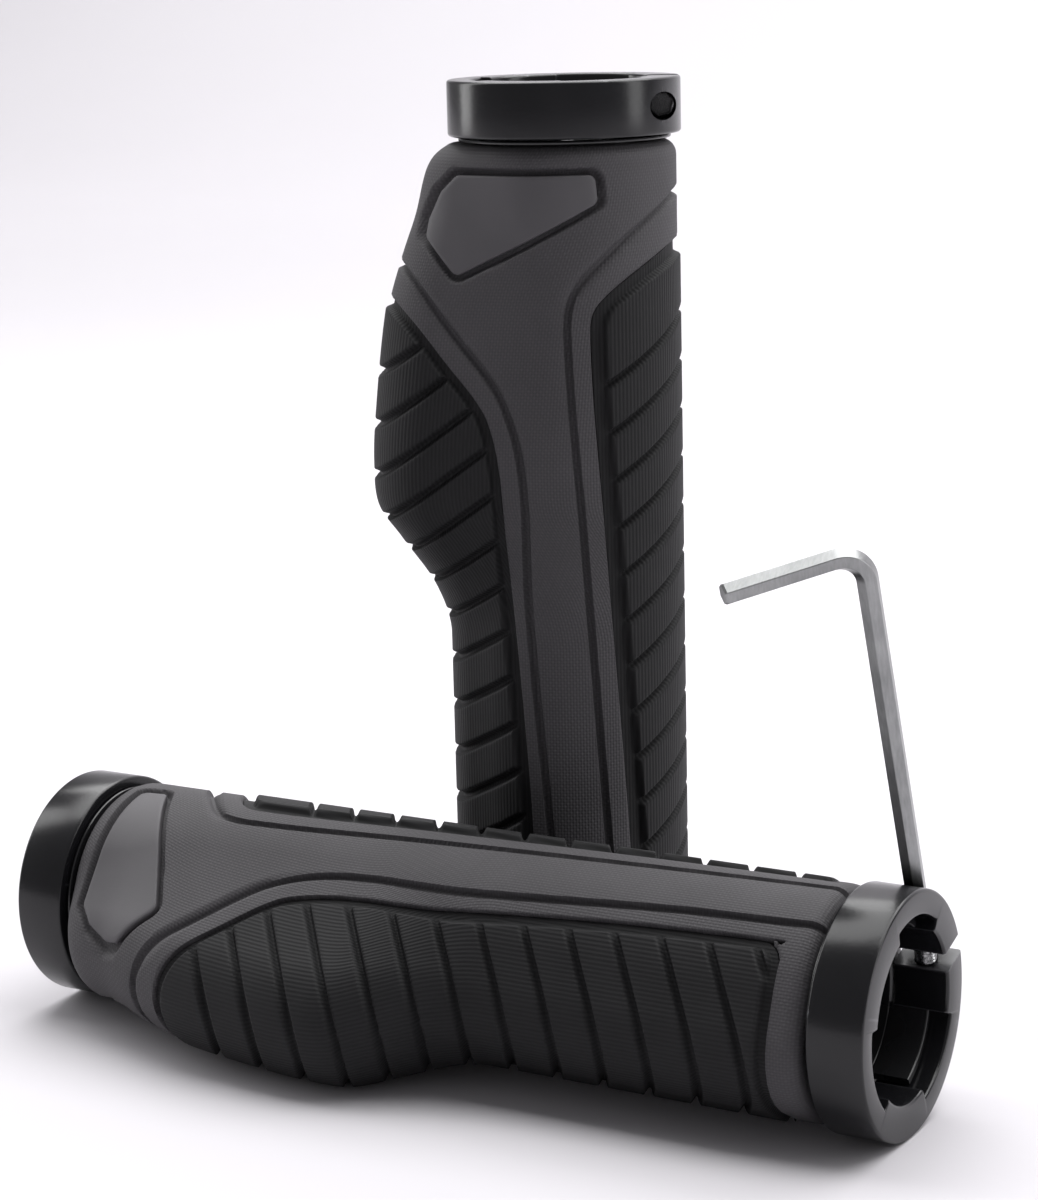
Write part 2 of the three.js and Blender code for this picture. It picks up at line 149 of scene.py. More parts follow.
# Lines that steer the mesh along the two long sides of the panel, then down the middle of the grip.
PANEL_LEFT = [(15.4, 9), (15.4, 11.5), (18, 14.1), (19.9, 18.1), (20.5, 21), (15.7, 27.1), (9, 35),
              (4.5, 44), (3, 124)]
PANEL_RIGHT = [(-4.6, 9), (-4.6, 11.4), (-5.1, 16.6), (12.5, 25.5), (5, 35), (2, 44), (-1, 124)]
PANEL_BAND = 1.1

# ---- Density of the meshes ----
COLUMN_COUNTS = (7, 10, 4, 7, 9, 6, 13, 15, 13, 13, 9, 7, 4, 10, 7)
LEAST_TURN = 0.004
FINE_END = 32.0
FINE_STEP = 0.27
PLAIN_STEP = 0.38
PAD_COLUMNS = 191
PAD_BACK_COLUMNS = 9
PAD_STEP = 0.225
PAD_TIP = 1.5
BISECTIONS = 28

# ---- Camera: the photograph's viewing angle ----
CAMERA_PLACE = Vector((0.2044, -0.3404, 0.1464))
CAMERA_AZIMUTH = math.radians(30.6)
CAMERA_PITCH = math.radians(12.1)
CAMERA_ROLL = math.radians(-1.4)
CAMERA_LENS = 90.0
SENSOR_WIDTH = 36


# ---- Small numeric helpers ----
def hermite(points, at):
    """Smooth curve through (at, value) points, with the slopes of its neighbours."""
    xs, ys = (np.array(column, float) for column in zip(*points))
    slope = np.zeros_like(ys)
    slope[1:-1] = (ys[2:] - ys[:-2]) / (xs[2:] - xs[:-2])
    slope[[0, -1]] = [(ys[1] - ys[0]) / (xs[1] - xs[0]), (ys[-1] - ys[-2]) / (xs[-1] - xs[-2])]
    k = np.clip(np.searchsorted(xs, at, side="right") - 1, 0, len(xs) - 2)
    h = xs[k + 1] - xs[k]
    t = np.clip((at - xs[k]) / h, 0, 1)
    rise = ys[k] * (2 * t**3 - 3 * t**2 + 1) + ys[k + 1] * (3 * t**2 - 2 * t**3)
    return rise + h * (slope[k] * (t**3 - 2 * t**2 + t) + slope[k + 1] * (t**3 - t**2))


def smoothstep(low, high, value):
    t = np.clip((value - low) / (high - low), 0, 1)
    return t * t * (3 - 2 * t)


def line_x(line, s):
    """x of a line at each s."""
    return hermite([(point[1], point[0]) for point in line], s)


def across(line, x, s):
    """Distance from a line, positive toward the wing."""
    step = 0.2
    slope = (line_x(line, s + step) - line_x(line, s - step)) / (2 * step)
    return (x - line_x(line, s)) / np.sqrt(1 + slope**2)


# ---- The grip's outside ----
def tip_circle(s):
    """Where the wing's tip circle is centred at each s, and the angle of its tangent to the bar's circle."""
    share = np.clip(hermite(WING_PROFILE, s), 0, 1.02)
    centre = PALM_REACH + (WING_REACH - PALM_REACH) * share - TIP_RADIUS
    return centre, np.arccos((RUBBER_RADIUS - TIP_RADIUS) / centre)


def skin_radius(angle, s):
    """Distance from the bar axis to the skin: two circles joined by their tangents."""
    centre, tangent = tip_circle(s)
    turn = np.abs(angle)
    corner = np.arctan2(TIP_RADIUS * np.sin(tangent), centre + TIP_RADIUS * np.cos(tangent))
    tip = centre * np.cos(turn) + np.sqrt(np.maximum(TIP_RADIUS**2 - (centre * np.sin(turn)) ** 2, 0))
    side = RUBBER_RADIUS / np.cos(np.minimum(turn, tangent) - tangent)
    return np.where(turn >= tangent, RUBBER_RADIUS, np.where(turn > corner, side, tip))


def angle_at(x, s):
    """The angle on the upper face where the skin is at x: 0 beyond the wing, pi beyond the fingers."""
    low = np.zeros_like(s)
    high = np.full_like(s, math.pi)
    for _ in range(BISECTIONS):
        middle = (low + high) / 2
        further = skin_radius(middle, s) * np.cos(middle) > x
        low = np.where(further, middle, low)
        high = np.where(further, high, middle)
    return (low + high) / 2


def skin_facing(angle, s):
    """Direction in which the skin faces at an angle: out of the circle it lies on, or off its flat."""
    centre, tangent = tip_circle(s)
    radius = skin_radius(angle, s)
    on_tip = np.arctan2(radius * np.sin(np.abs(angle)), radius * np.cos(angle) - centre)
    facing = np.where(np.abs(angle) >= tangent, np.abs(angle), np.minimum(on_tip, tangent))
    return np.copysign(facing, angle)


def skin_points(angle, s, offset, length):
    """Points of the skin in grip millimetres, moved off it by an offset square to its section."""
    radius, facing = skin_radius(angle, s), skin_facing(angle, s)
    return np.stack([radius * np.cos(angle) + offset * np.cos(facing),
                     radius * np.sin(angle) + offset * np.sin(facing), length - s], -1)


# ---- Meshes ----
def mesh_object(name, points, faces, uvs=None):
    """A mesh in metres from millimetre points; uvs holds one pair for each face corner."""
    mesh = bpy.data.meshes.new(name)
    mesh.from_pydata((np.asarray(points).reshape(-1, 3) * MM).tolist(), [], faces)
    if uvs is not None:
        layer = mesh.uv_layers.new(name="Skin")
        layer.data.foreach_set("uv", np.asarray(uvs, np.float32).ravel())
    mesh.update()
    piece = bpy.data.objects.new(name, mesh)
    bpy.context.scene.collection.objects.link(piece)
    return piece


def face_out(piece, sharp=40):
    """Faces out, smooth, with edges over the given angle kept sharp."""
    mesh = piece.data
    work = bmesh.new()
    work.from_mesh(mesh)
    bmesh.ops.remove_doubles(work, verts=work.verts, dist=1e-7)
    bmesh.ops.dissolve_degenerate(work, edges=work.edges, dist=1e-8)
    bmesh.ops.recalc_face_normals(work, faces=work.faces)
    work.to_mesh(mesh)
    work.free()
    mesh.polygons.foreach_set("use_smooth", [True] * len(mesh.polygons))
    mesh.set_sharp_from_angle(angle=math.radians(sharp))
    return piece


def grid_faces(rows, columns, wrap_rows=False, wrap_columns=False):
    """Quads of a grid of points stored row by row."""
    r = np.arange(rows if wrap_rows else rows - 1)
    c = np.arange(columns if wrap_columns else columns - 1)
    r0, c0 = (grid.ravel() for grid in np.meshgrid(r, c, indexing="ij"))
    r1, c1 = (r0 + 1) % rows, (c0 + 1) % columns
    return np.stack([r0 * columns + c0, r0 * columns + c1, r1 * columns + c1, r1 * columns + c0], -1)


def grid_uvs(across_mm, along_mm, wrap_rows=False):
    """Face-corner pairs for a grid whose columns don't share their seam values."""
    rows, columns = across_mm.shape
    r = np.arange(rows if wrap_rows else rows - 1)
    r0, c0 = (grid.ravel() for grid in np.meshgrid(r, np.arange(columns - 1), indexing="ij"))
    r1, c1 = (r0 + 1) % rows, c0 + 1
    corners = ((r0, c0), (r0, c1), (r1, c1), (r1, c0))
    pairs = [np.stack([across_mm[at], along_mm[at]], -1) for at in corners]
    return np.stack(pairs, 1) * UV_SCALE


def sweep(name, rings, sharp=40):
    """A closed body over rings of points, with flat ends."""
    rings = np.asarray(rings, float)
    rows, columns = rings.shape[:2]
    faces = grid_faces(rows, columns, wrap_columns=True).tolist()
    faces.append(list(range(columns)))
    faces.append(list(range((rows - 1) * columns, rows * columns)))
    return face_out(mesh_object(name, rings, faces), sharp)


def turned(name, profile, steps=160):
    """A body turned about Z from a closed (radius, height) profile."""
    angle = np.linspace(0, 2 * math.pi, steps, endpoint=False)[:, None]
    radius, height = (np.array(column, float)[None, :] for column in zip(*profile))
    points = np.stack([radius * np.cos(angle), radius * np.sin(angle), height + 0 * angle], -1)
    faces = grid_faces(steps, len(profile), True, True).tolist()
    return face_out(mesh_object(name, points, faces))


def rounded_box_profile(low, high, bottom, top, rounding, steps=4):
    """A rectangle in (radius, height) with rounded corners."""
    corners = [(high - rounding, bottom + rounding, -90), (high - rounding, top - rounding, 0),
               (low + rounding, top - rounding, 90), (low + rounding, bottom + rounding, 180)]
    profile = []
    for radius, height, start in corners:
        for k in range(steps + 1):
            angle = math.radians(start + 90 * k / steps)
            profile.append((radius + rounding * math.cos(angle), height + rounding * math.sin(angle)))
    return profile


def rod(radius, low, high, steps=48):
    """A rod along Y at the clamp screw's place, as a throwaway cutter."""
    angle = np.linspace(0, 2 * math.pi, steps, endpoint=False)
    rings = [[[radius * math.sin(a) - SCREW_OFFSET, height, radius * math.cos(a)] for a in angle]
             for height in (low, high)]
    return sweep("cutter", rings)


def cut(piece, *cutters, operation="DIFFERENCE"):
    """Booleans applied to the mesh; the cutters are removed."""
    for cutter in cutters:
        change = piece.modifiers.new("cut", "BOOLEAN")
        change.operation = operation
        change.object = cutter
        change.solver = "EXACT"
    shown = piece.evaluated_get(bpy.context.evaluated_depsgraph_get())
    mesh = bpy.data.meshes.new_from_object(shown)
    piece.modifiers.clear()
    piece.data = mesh
    for cutter in cutters:
        bpy.data.objects.remove(cutter)
    return piece


def joined(name, pieces):
    """Several meshes as one object."""
    work = bmesh.new()
    for piece in pieces:
        work.from_mesh(piece.data)
    mesh = bpy.data.meshes.new(name)
    work.to_mesh(mesh)
    work.free()
    for piece in pieces:
        bpy.data.objects.remove(piece)
    whole = bpy.data.objects.new(name, mesh)
    bpy.context.scene.collection.objects.link(whole)
    return face_out(whole)


# ---- Rubber body ----
def outline_distance(x, s, outline):
    """Signed distance to a closed outline, positive inside."""
    points = np.array(outline, float)
    nearest = np.full(x.shape, 1e9)
    inside = np.zeros(x.shape, bool)
    for a, b in zip(points, np.roll(points, -1, 0)):
        edge = b - a
        along = np.clip(((x - a[0]) * edge[0] + (s - a[1]) * edge[1]) / (edge @ edge), 0, 1)
        nearest = np.minimum(nearest, np.hypot(x - a[0] - along * edge[0], s - a[1] - along * edge[1]))
        crosses = (a[1] > s) != (b[1] > s)
        rise = np.where(edge[1] == 0, 1e-9, edge[1])
        inside ^= crosses & (x < a[0] + edge[0] * (s - a[1]) / rise)
    return np.where(inside, nearest, -nearest)


def pad_distance(x, s, border, end, side):
    """How far inside a pad's outline a point lies; side is 1 for the palm and -1 for the fingers."""
    from_side = side * across(border, x, s)
    from_end = end - s
    corner = np.minimum(np.maximum(from_side, 0), PAD_CORNER) - PAD_CORNER
    corner_end = np.minimum(np.maximum(from_end, 0), PAD_CORNER) - PAD_CORNER
    rounded = PAD_CORNER - np.hypot(corner, corner_end)
    return np.where((from_side > 0) & (from_end > 0), rounded, np.minimum(from_side, from_end))


def rubber_relief(x, s):
    """Offset from the plain skin: border grooves, pad pockets and the inlay's pocket."""
    offset = np.zeros_like(x)
    for line in (PALM_GROOVE, FINGER_GROOVE):
        near = np.clip(np.abs(across(line, x, s)) / GROOVE_HALF_WIDTH, 0, 1)
        offset = np.minimum(offset, -GROOVE_DEPTH * (1 - near**3) ** 1.2)
    for border, end, side in ((PALM_BORDER, PALM_END, 1), (FINGER_BORDER, FINGER_END, -1)):
        inside = pad_distance(x, s, border, end, side)
        offset = np.minimum(offset, -(PAD_DEPTH + PAD_FLOOR_GAP) * smoothstep(-PAD_GAP, 0.02, inside) ** 1.5)
    rows = (s > INLAY_FIRST) & (s < INLAY_LAST)
    pocket = np.full_like(x, -1.0)
    rim = rounded_outline(INLAY_OUTLINE, 0, INLAY_POCKET_ROUNDING)
    pocket[rows] = outline_distance(x[rows], s[rows], rim)
    return np.minimum(offset, -INLAY_POCKET * smoothstep(-0.25, 0.4, pocket))


def end_drop(s, first, last):
    """How far the rounded ends fall below the skin."""
    near = np.minimum(np.minimum(s - first, last - s), END_ROUNDING)
    return -(END_ROUNDING - np.sqrt(np.maximum(END_ROUNDING**2 - (END_ROUNDING - near) ** 2, 0)))


def spaced(first, last, step):
    return np.linspace(first, last, max(int(round((last - first) / step)), 1) + 1)


def half_columns(s):
    """Angles from the wing's edge to the finger side, packed along the borders and grooves."""
    half = GROOVE_HALF_WIDTH
    palm, fingers = line_x(PALM_BORDER, s), line_x(FINGER_BORDER, s)
    palm_groove, finger_groove = line_x(PALM_GROOVE, s), line_x(FINGER_GROOVE, s)
    left, right = line_x(PANEL_LEFT, s), line_x(PANEL_RIGHT, s)
    inner = PAD_CORNER + PAD_GAP
    lines = (palm + inner, palm, palm - PAD_GAP, palm_groove + half, palm_groove - half,
             left + PANEL_BAND, left - PANEL_BAND, right + PANEL_BAND, right - PANEL_BAND,
             finger_groove + half, finger_groove - half, fingers + PAD_GAP, fingers, fingers - inner)
    stops = [np.zeros_like(s), *(angle_at(x, s) for x in lines), np.full_like(s, math.pi)]
    for k in range(1, len(stops)):
        stops[k] = np.maximum(stops[k], stops[k - 1] + LEAST_TURN)
    stops[-1] = np.full_like(s, math.pi)
    for k in range(len(stops) - 2, 0, -1):
        stops[k] = np.minimum(stops[k], stops[k + 1] - LEAST_TURN)
    parts = []
    for k, count in enumerate(COLUMN_COUNTS):
        share = np.arange(count) / count
        parts.append(stops[k][:, None] + (stops[k + 1] - stops[k])[:, None] * share[None, :])
    parts.append(stops[-1][:, None])
    return np.concatenate(parts, 1)


def arc_lengths(points):
    """Length along each row of points, measured from its middle column."""
    steps = np.linalg.norm(np.diff(points, axis=1), axis=2)
    total = np.concatenate([np.zeros((len(points), 1)), np.cumsum(steps, 1)], 1)
    return total - total[:, [points.shape[1] // 2]]


def rubber_body(name, length, first):
    """The grey body between its two rounded ends, with a plain bore; it starts at s = first."""
    last = length - first
    ends = END_ROUNDING * (1 - np.cos(np.linspace(0, math.pi / 2, 8)))
    s = np.concatenate([first + ends, spaced(first + END_ROUNDING, FINE_END, FINE_STEP)[1:-1],
                        spaced(FINE_END, last - END_ROUNDING, PLAIN_STEP)[:-1], last - ends[::-1]])
    half = half_columns(s)
    angle = np.concatenate([-half[:, ::-1], half[:, 1:]], 1)
    grid_s = np.repeat(s[:, None], angle.shape[1], 1)
    x = skin_radius(angle, grid_s) * np.cos(angle)
    drop = end_drop(grid_s, first, last)
    outer = skin_points(angle, grid_s, np.minimum(rubber_relief(x, grid_s), 0) + drop, length)
    bore = []
    row = angle[len(s) // 2]
    radius = SLEEVE_RADIUS + FIT
    for at in (last, last - 3, (first + last) / 2, first + 3, first):
        height = np.full_like(row, length - at)
        bore.append(np.stack([radius * np.cos(row), radius * np.sin(row), height], -1))
    points = np.concatenate([outer, bore], 0)
    along = np.repeat(length - points[:, :1, 2], points.shape[1], 1)
    around = arc_lengths(skin_points(angle, grid_s, 0.0, length))
    around = np.concatenate([around, np.repeat(around[-1:], len(bore), 0)], 0)
    uvs = grid_uvs(around, along, wrap_rows=True)
    faces = grid_faces(len(points), points.shape[1], wrap_rows=True)
    return face_out(mesh_object(name, points, faces.tolist(), uvs.reshape(-1, 2)), 50)


# ---- Pads ----
def rib_distance(phase, slope):
    """Distance from the nearest rib groove; there is none before the first."""
    away = np.abs(phase - np.round(phase)) * RIB_PITCH / math.hypot(1, slope)
    return np.where(phase > -0.5, away, RIB_FREE)


def palm_ribs(x, s, angle):
    return rib_distance((s - PALM_RIB_SLOPE * x - PALM_RIB_START) / RIB_PITCH, PALM_RIB_SLOPE)


def finger_ribs(x, s, angle):
    arc = np.hypot(RUBBER_RADIUS * (math.pi - np.abs(angle)), FINGER_RIB_BEND) - FINGER_RIB_BEND
    return rib_distance((s - FINGER_RIB_SLOPE * arc - FINGER_RIB_START) / RIB_PITCH, FINGER_RIB_SLOPE)


def pad(name, length, border, end, side, ribs, channel_width):
    """A ribbed pad, symmetric about the wing's plane, as a closed shell of even thickness."""
    s_all = spaced(17, end, 0.1)
    edge = angle_at(line_x(border, s_all), s_all)
    width = edge if side > 0 else math.pi - edge
    first = s_all[np.argmax(width > 0.01)]
    s = np.concatenate([first + PAD_TIP * np.linspace(0, 1, 14)[1:] ** 2,
                        spaced(first + PAD_TIP, end - PAD_CORNER, PAD_STEP)[1:],
                        end - PAD_CORNER * (1 - np.sin(np.linspace(0, math.pi / 2, 22)[1:]))])
    inset = PAD_CORNER - np.sqrt(np.maximum(PAD_CORNER**2 - np.maximum(s - end + PAD_CORNER, 0) ** 2, 0))
    edge = angle_at(line_x(border, s) + side * inset, s)
    turn = np.linspace(-1, 1, PAD_COLUMNS)
    share = 0.35 * np.sin(turn * math.pi / 2) + 0.65 * turn
    middle, width = (0.0, edge) if side > 0 else (math.pi, math.pi - edge)
    angle = middle + width[:, None] * share[None, :]
    folded = np.arctan2(np.sin(angle), np.cos(angle))
    grid_s = np.repeat(s[:, None], PAD_COLUMNS, 1)
    x = skin_radius(folded, grid_s) * np.cos(angle)
    inside = np.maximum(pad_distance(x, grid_s, border, end, side), 0)
    groove = 1 - smoothstep(*RIB_FLANK, ribs(x, grid_s, folded))
    channel = 1 - smoothstep(channel_width - CHANNEL_INNER, channel_width + CHANNEL_OUTER, inside)
    top = skin_points(folded, grid_s, PAD_RISE - RIB_DEPTH * np.maximum(groove, channel), length)
    back = np.linspace(PAD_COLUMNS - 1, 0, PAD_BACK_COLUMNS).astype(int)
    bottom = skin_points(folded[:, back], grid_s[:, back], -PAD_DEPTH, length)
    points = np.concatenate([top, bottom], 1)
    around = arc_lengths(skin_points(folded, grid_s, 0.0, length))
    around = np.concatenate([around, around[:, back], around[:, :1]], 1)
    uvs = grid_uvs(around, np.repeat(s[:, None], around.shape[1], 1)).reshape(-1, 2)
    rows, columns = points.shape[:2]
    faces = grid_faces(rows, columns, wrap_columns=True).tolist()
    faces += [list(range(columns)), list(range((rows - 1) * columns, rows * columns))]
    uvs = np.concatenate([uvs, np.zeros((2 * columns, 2))])
    return face_out(mesh_object(name, points, faces, uvs), 60)


# ---- Inlay panel ----
def rounded_outline(outline, inset, rounding, steps=7):
    """The outline moved inward, with its corners rounded, as a dense closed list."""
    points = np.array(outline, float)
    if np.cross(points[1] - points[0], points[2] - points[1]) < 0:
        points = points[::-1]
    result = []
    count = len(points)
    for k in range(count):
        before, at, after = points[k - 1], points[k], points[(k + 1) % count]
        a = (at - before) / np.linalg.norm(at - before)
        b = (after - at) / np.linalg.norm(after - at)
        turn = math.acos(np.clip(a @ b, -1, 1))
        normal_a, normal_b = np.array([-a[1], a[0]]), np.array([-b[1], b[0]])
        bisector = (normal_a + normal_b) / np.linalg.norm(normal_a + normal_b)
        centre = at + bisector * (inset + rounding) / math.cos(turn / 2)
        for step in range(steps + 1):
            share = step / steps
            from_a, from_b = math.sin((1 - share) * turn), math.sin(share * turn)
            outward = -(normal_a * from_a + normal_b * from_b) / math.sin(turn)
            result.append(centre + rounding * outward)
    result = np.array(result)
    dense = []
    for a, b in zip(result, np.roll(result, -1, 0)):
        parts = max(int(np.linalg.norm(b - a) / 0.4), 1)
        dense += [a + (b - a) * k / parts for k in range(parts)]
    return np.array(dense)


def inlay(name, length, face):
    """A smooth panel that follows the skin, with rounded edges; face is 1 for the upper, -1 for the lower."""
    rim = rounded_outline(INLAY_OUTLINE, INLAY_MARGIN, INLAY_ROUNDING)
    centre = rim.mean(0)
    drops = [(1.0, 1.0), (1.0, 0.35), (0.995, 0.2), (0.985, 0.1), (0.97, 0.03)]
    layers = drops + [(share, 0.0) for share in np.linspace(0.93, 0.04, 22)]
    rings = []
    for share, drop in layers:
        line = centre + (rim - centre) * share
        angle = angle_at(line[:, 0], line[:, 1])
        rings.append(skin_points(angle, line[:, 1], -INLAY_SINK - drop, length))
    rings = np.array(rings)
    rings[..., 1] *= face
    return sweep(name, rings, 55)


# ---- Hard parts of a grip ----
def core_sleeve(name, length, ring_width):
    """The hard tube under the rubber, with a collar and three tabs at each end."""
    start = ring_width + FIT
    end = start + COLLAR_WIDTH
    edge, corner = 0.25, 0.07
    profile = [(BORE_RADIUS, start + 0.3), (BORE_RADIUS + 0.3, start),
               (COLLAR_RADIUS - edge, start), (COLLAR_RADIUS - corner, start + corner),
               (COLLAR_RADIUS, start + edge), (COLLAR_RADIUS, end - edge),
               (COLLAR_RADIUS - corner, end - corner), (COLLAR_RADIUS - edge, end), (SLEEVE_RADIUS, end)]
    far = [(radius, length - height) for radius, height in reversed(profile)]
    tube = turned("tube", profile + far)
    tabs = []
    for middle in RECESS_MIDDLES:
        for low, high in ((ring_width - TAB_LENGTH, start + COLLAR_WIDTH / 2),
                          (length - start - COLLAR_WIDTH / 2, length - ring_width + TAB_LENGTH)):
            tabs.append(tab(math.radians(middle), low, high))
    return cut(tube, *tabs, operation="UNION")


def tab(middle, low, high):
    """One of the sleeve's tabs, a stretch of its wall round the given angle."""
    profile = rounded_box_profile(BORE_RADIUS + TAB_STEP, SLEEVE_RADIUS, low, high, TAB_ROUNDING)
    half = math.radians(TAB_HALF_ANGLE)
    angles = middle + half * np.linspace(-1, 1, 41)
    rings = [[(r * math.cos(a), r * math.sin(a), z) for r, z in profile] for a in angles]
    return sweep("tab", rings)


def bore_step(degrees):
    """1 inside a recess of the ring's bore and 0 on its gripping pads, with softened corners."""
    away = min(abs((degrees - middle + 180) % 360 - 180) for middle in RECESS_MIDDLES)
    return float(smoothstep(RECESS_HALF_ANGLE + 0.5, RECESS_HALF_ANGLE - 1.1, np.array(away)))


def clamp_ring(name, width, height):
    """Split ring with three recesses, a slot on the finger side, and its screw's bore and mouth."""
    turn = np.unique(np.concatenate([np.linspace(-1, 1, 241), *[
        (middle + side * (RECESS_HALF_ANGLE + np.linspace(-1.2, 0.6, 9))) / 180
        for middle in (-120, 0, 120) for side in (-1, 1)]]))
    turn = turn[np.abs(turn) <= 1]
    rings = []
    for share in turn:
        inner = BORE_RADIUS + (RECESS_RADIUS - BORE_RADIUS) * bore_step(share * 180)
        ring = []
        for radius, z in rounded_box_profile(inner, RING_RADIUS, height, height + width, RING_ROUNDING):
            angle = share * (math.pi - math.asin(SLOT_WIDTH / 2 / radius))
            ring.append((radius * math.cos(angle), radius * math.sin(angle), z))
        rings.append(ring)
    ring = sweep(name, rings)
    bore = rod(SHANK_RADIUS + SHANK_FIT, SCREW_TIP - FIT, SCREW_SEAT + 1)
    mouth = rod(HEAD_RADIUS + FIT / 2, SCREW_SEAT, RING_RADIUS + 2)
    for cutter in (bore, mouth):
        cutter.data.transform(Matrix.Translation((0, 0, (height + width / 2) * MM)))
    return face_out(cut(ring, bore, mouth), 38)


def clamp_screw(name, middle):
    """Socket-head screw along Y with a real thread on its shank."""
    head = [(HEAD_RADIUS - 0.1, SCREW_SEAT + 0.1), (HEAD_RADIUS, SCREW_SEAT + 0.2),
            (HEAD_RADIUS, SCREW_TOP - 0.2), (HEAD_RADIUS - 0.05, SCREW_TOP - 0.06),
            (HEAD_RADIUS - 0.18, SCREW_TOP)]
    angle = np.linspace(0, 2 * math.pi, 72, endpoint=False)
    rings = [[(r * math.sin(a), y, r * math.cos(a)) for a in angle] for r, y in head]
    body = sweep("head", rings)
    rings = []
    for y in spaced(SCREW_TIP, SCREW_SEAT + 0.4, THREAD_STEP):
        taper = SCREW_TAPER * max(0.0, 1 - (y - SCREW_TIP) / SCREW_TAPER_LENGTH)
        flank = [abs(((y / THREAD_PITCH + a / (2 * math.pi)) % 1) - 0.5) * 2 for a in angle]
        radii = [SHANK_RADIUS - THREAD_DEPTH * share - taper for share in flank]
        rings.append([(r * math.sin(a), y, r * math.cos(a)) for a, r in zip(angle, radii)])
    shank = sweep("shank", rings, 60)
    across_corners = (KEY_ACROSS_FLATS / 2 + KEY_FIT) / math.cos(math.pi / 6)
    turn = KEY_TURN - math.pi / 2
    hexagon = [[across_corners * math.sin(turn + math.pi * k / 3), 0,
                across_corners * math.cos(turn + math.pi * k / 3)]
               for k in range(6)]
    depths = (SCREW_TOP - SOCKET_DEPTH, SCREW_TOP + 1)
    socket = sweep("socket", [[[p[0], y, p[2]] for p in hexagon] for y in depths])
    cut(body, socket)
    whole = joined(name, [body, shank])
    whole.data.transform(Matrix.Translation((-SCREW_OFFSET * MM, 0, middle * MM)))
    return whole


def hex_key(name, middle):
    """Six-sided key with softened edges, bent once, standing in the screw's socket."""
    start = SCREW_TOP - SOCKET_DEPTH + KEY_FIT
    corner_radius = KEY_ACROSS_FLATS / 2 / math.cos(math.pi / 6)
    up = np.array([0.0, 1.0, 0.0])
    sideways = np.array([math.cos(KEY_TURN), 0, -math.sin(KEY_TURN)])
    across_way = np.array([math.sin(KEY_TURN), 0, math.cos(KEY_TURN)])
    foot = np.array([-SCREW_OFFSET, start, middle])
    corners = np.array([[math.cos(math.pi * k / 3), math.sin(math.pi * k / 3)] for k in range(6)])
    section = []
    for k in range(6):
        for share in (0.12, 0.04):
            section.append(corners[k] * (1 - share) + corners[k - 1] * share)
        for share in (0.04, 0.12):
            section.append(corners[k] * (1 - share) + corners[(k + 1) % 6] * share)
    section = np.array(section) * corner_radius

    def ring(centre, away, scale=1.0):
        return [centre + scale * (p[0] * away + p[1] * across_way) for p in section]

    rings = [ring(foot, -sideways, KEY_TIP_SCALE), ring(foot + 0.3 * up, -sideways)]
    for step in range(1, 16):
        rings.append(ring(foot + (KEY_LONG_ARM - KEY_BEND) * step / 15 * up, -sideways))
    bend_centre = foot + (KEY_LONG_ARM - KEY_BEND) * up + KEY_BEND * sideways
    for step in range(1, 20):
        angle = math.pi / 2 * step / 20
        away = -sideways * math.cos(angle) + up * math.sin(angle)
        rings.append(ring(bend_centre + KEY_BEND * away, away))
    for along in np.linspace(KEY_BEND, KEY_SHORT_ARM - 0.3, 8):
        rings.append(ring(foot + KEY_LONG_ARM * up + along * sideways, up))
    rings.append(ring(foot + KEY_LONG_ARM * up + KEY_SHORT_ARM * sideways, up, KEY_TIP_SCALE))
    return sweep(name, rings, 20)


# ---- Materials ----
def material(name):
    """A new material, with its node tree and its Principled shader."""
    made = bpy.data.materials.new(name)
    made.use_nodes = True
    shader = made.node_tree.nodes["Principled BSDF"]
    return made, made.node_tree, shader


def node(tree, kind, inputs=None, **settings):
    """A node whose inputs take a value or another node's socket."""
    made = tree.nodes.new(kind)
    for key, value in settings.items():
        setattr(made, key, value)
    for key, value in (inputs or {}).items():
        if isinstance(value, bpy.types.NodeSocket):
            tree.links.new(value, made.inputs[key])
        else:
            made.inputs[key].default_value = value
    return made


def maths(tree, operation, *values):
    made = node(tree, "ShaderNodeMath", operation=operation)
    for k, value in enumerate(values):
        if isinstance(value, bpy.types.NodeSocket):
            tree.links.new(value, made.inputs[k])
        else:
            made.inputs[k].default_value = value
    return made.outputs[0]


def ramp(tree, factor, stops):
    """A colour ramp from (position, colour) stops in order."""
    made = node(tree, "ShaderNodeValToRGB", {"Fac": factor})
    elements = made.color_ramp.elements
    elements[0].position, elements[0].color = stops[0][0], (*stops[0][1], 1)
    elements[1].position, elements[1].color = stops[-1][0], (*stops[-1][1], 1)
    for position, colour in stops[1:-1]:
        elements.new(position).color = (*colour, 1)
    return made.outputs["Color"]


def spread(tree, value, low, high):
    return node(tree, "ShaderNodeMapRange", {"Value": value, "To Min": low, "To Max": high}).outputs["Result"]


def noise(tree, where, scale, detail=4.0):
    made = node(tree, "ShaderNodeTexNoise", {"Vector": where, "Scale": scale, "Detail": detail})
    return made.outputs["Fac"]


def skin_place(tree):
    """Millimetres around and along the grip, from the mesh's own map."""
    place = node(tree, "ShaderNodeUVMap", uv_map="Skin").outputs["UV"]
    to_mm = {0: place, "Scale": 1 / UV_SCALE}
    scaled = node(tree, "ShaderNodeVectorMath", to_mm, operation="SCALE").outputs[0]
    split = node(tree, "ShaderNodeSeparateXYZ", {0: scaled})
    return scaled, split.outputs["X"], split.outputs["Y"]


def wave(tree, value, pitch, phase=0.0):
    """A cosine wave from 0 to 1 over a length in millimetres."""
    turn = maths(tree, "MULTIPLY_ADD", value, 2 * math.pi / pitch, phase)
    return maths(tree, "MULTIPLY_ADD", maths(tree, "COSINE", turn), 0.5, 0.5)


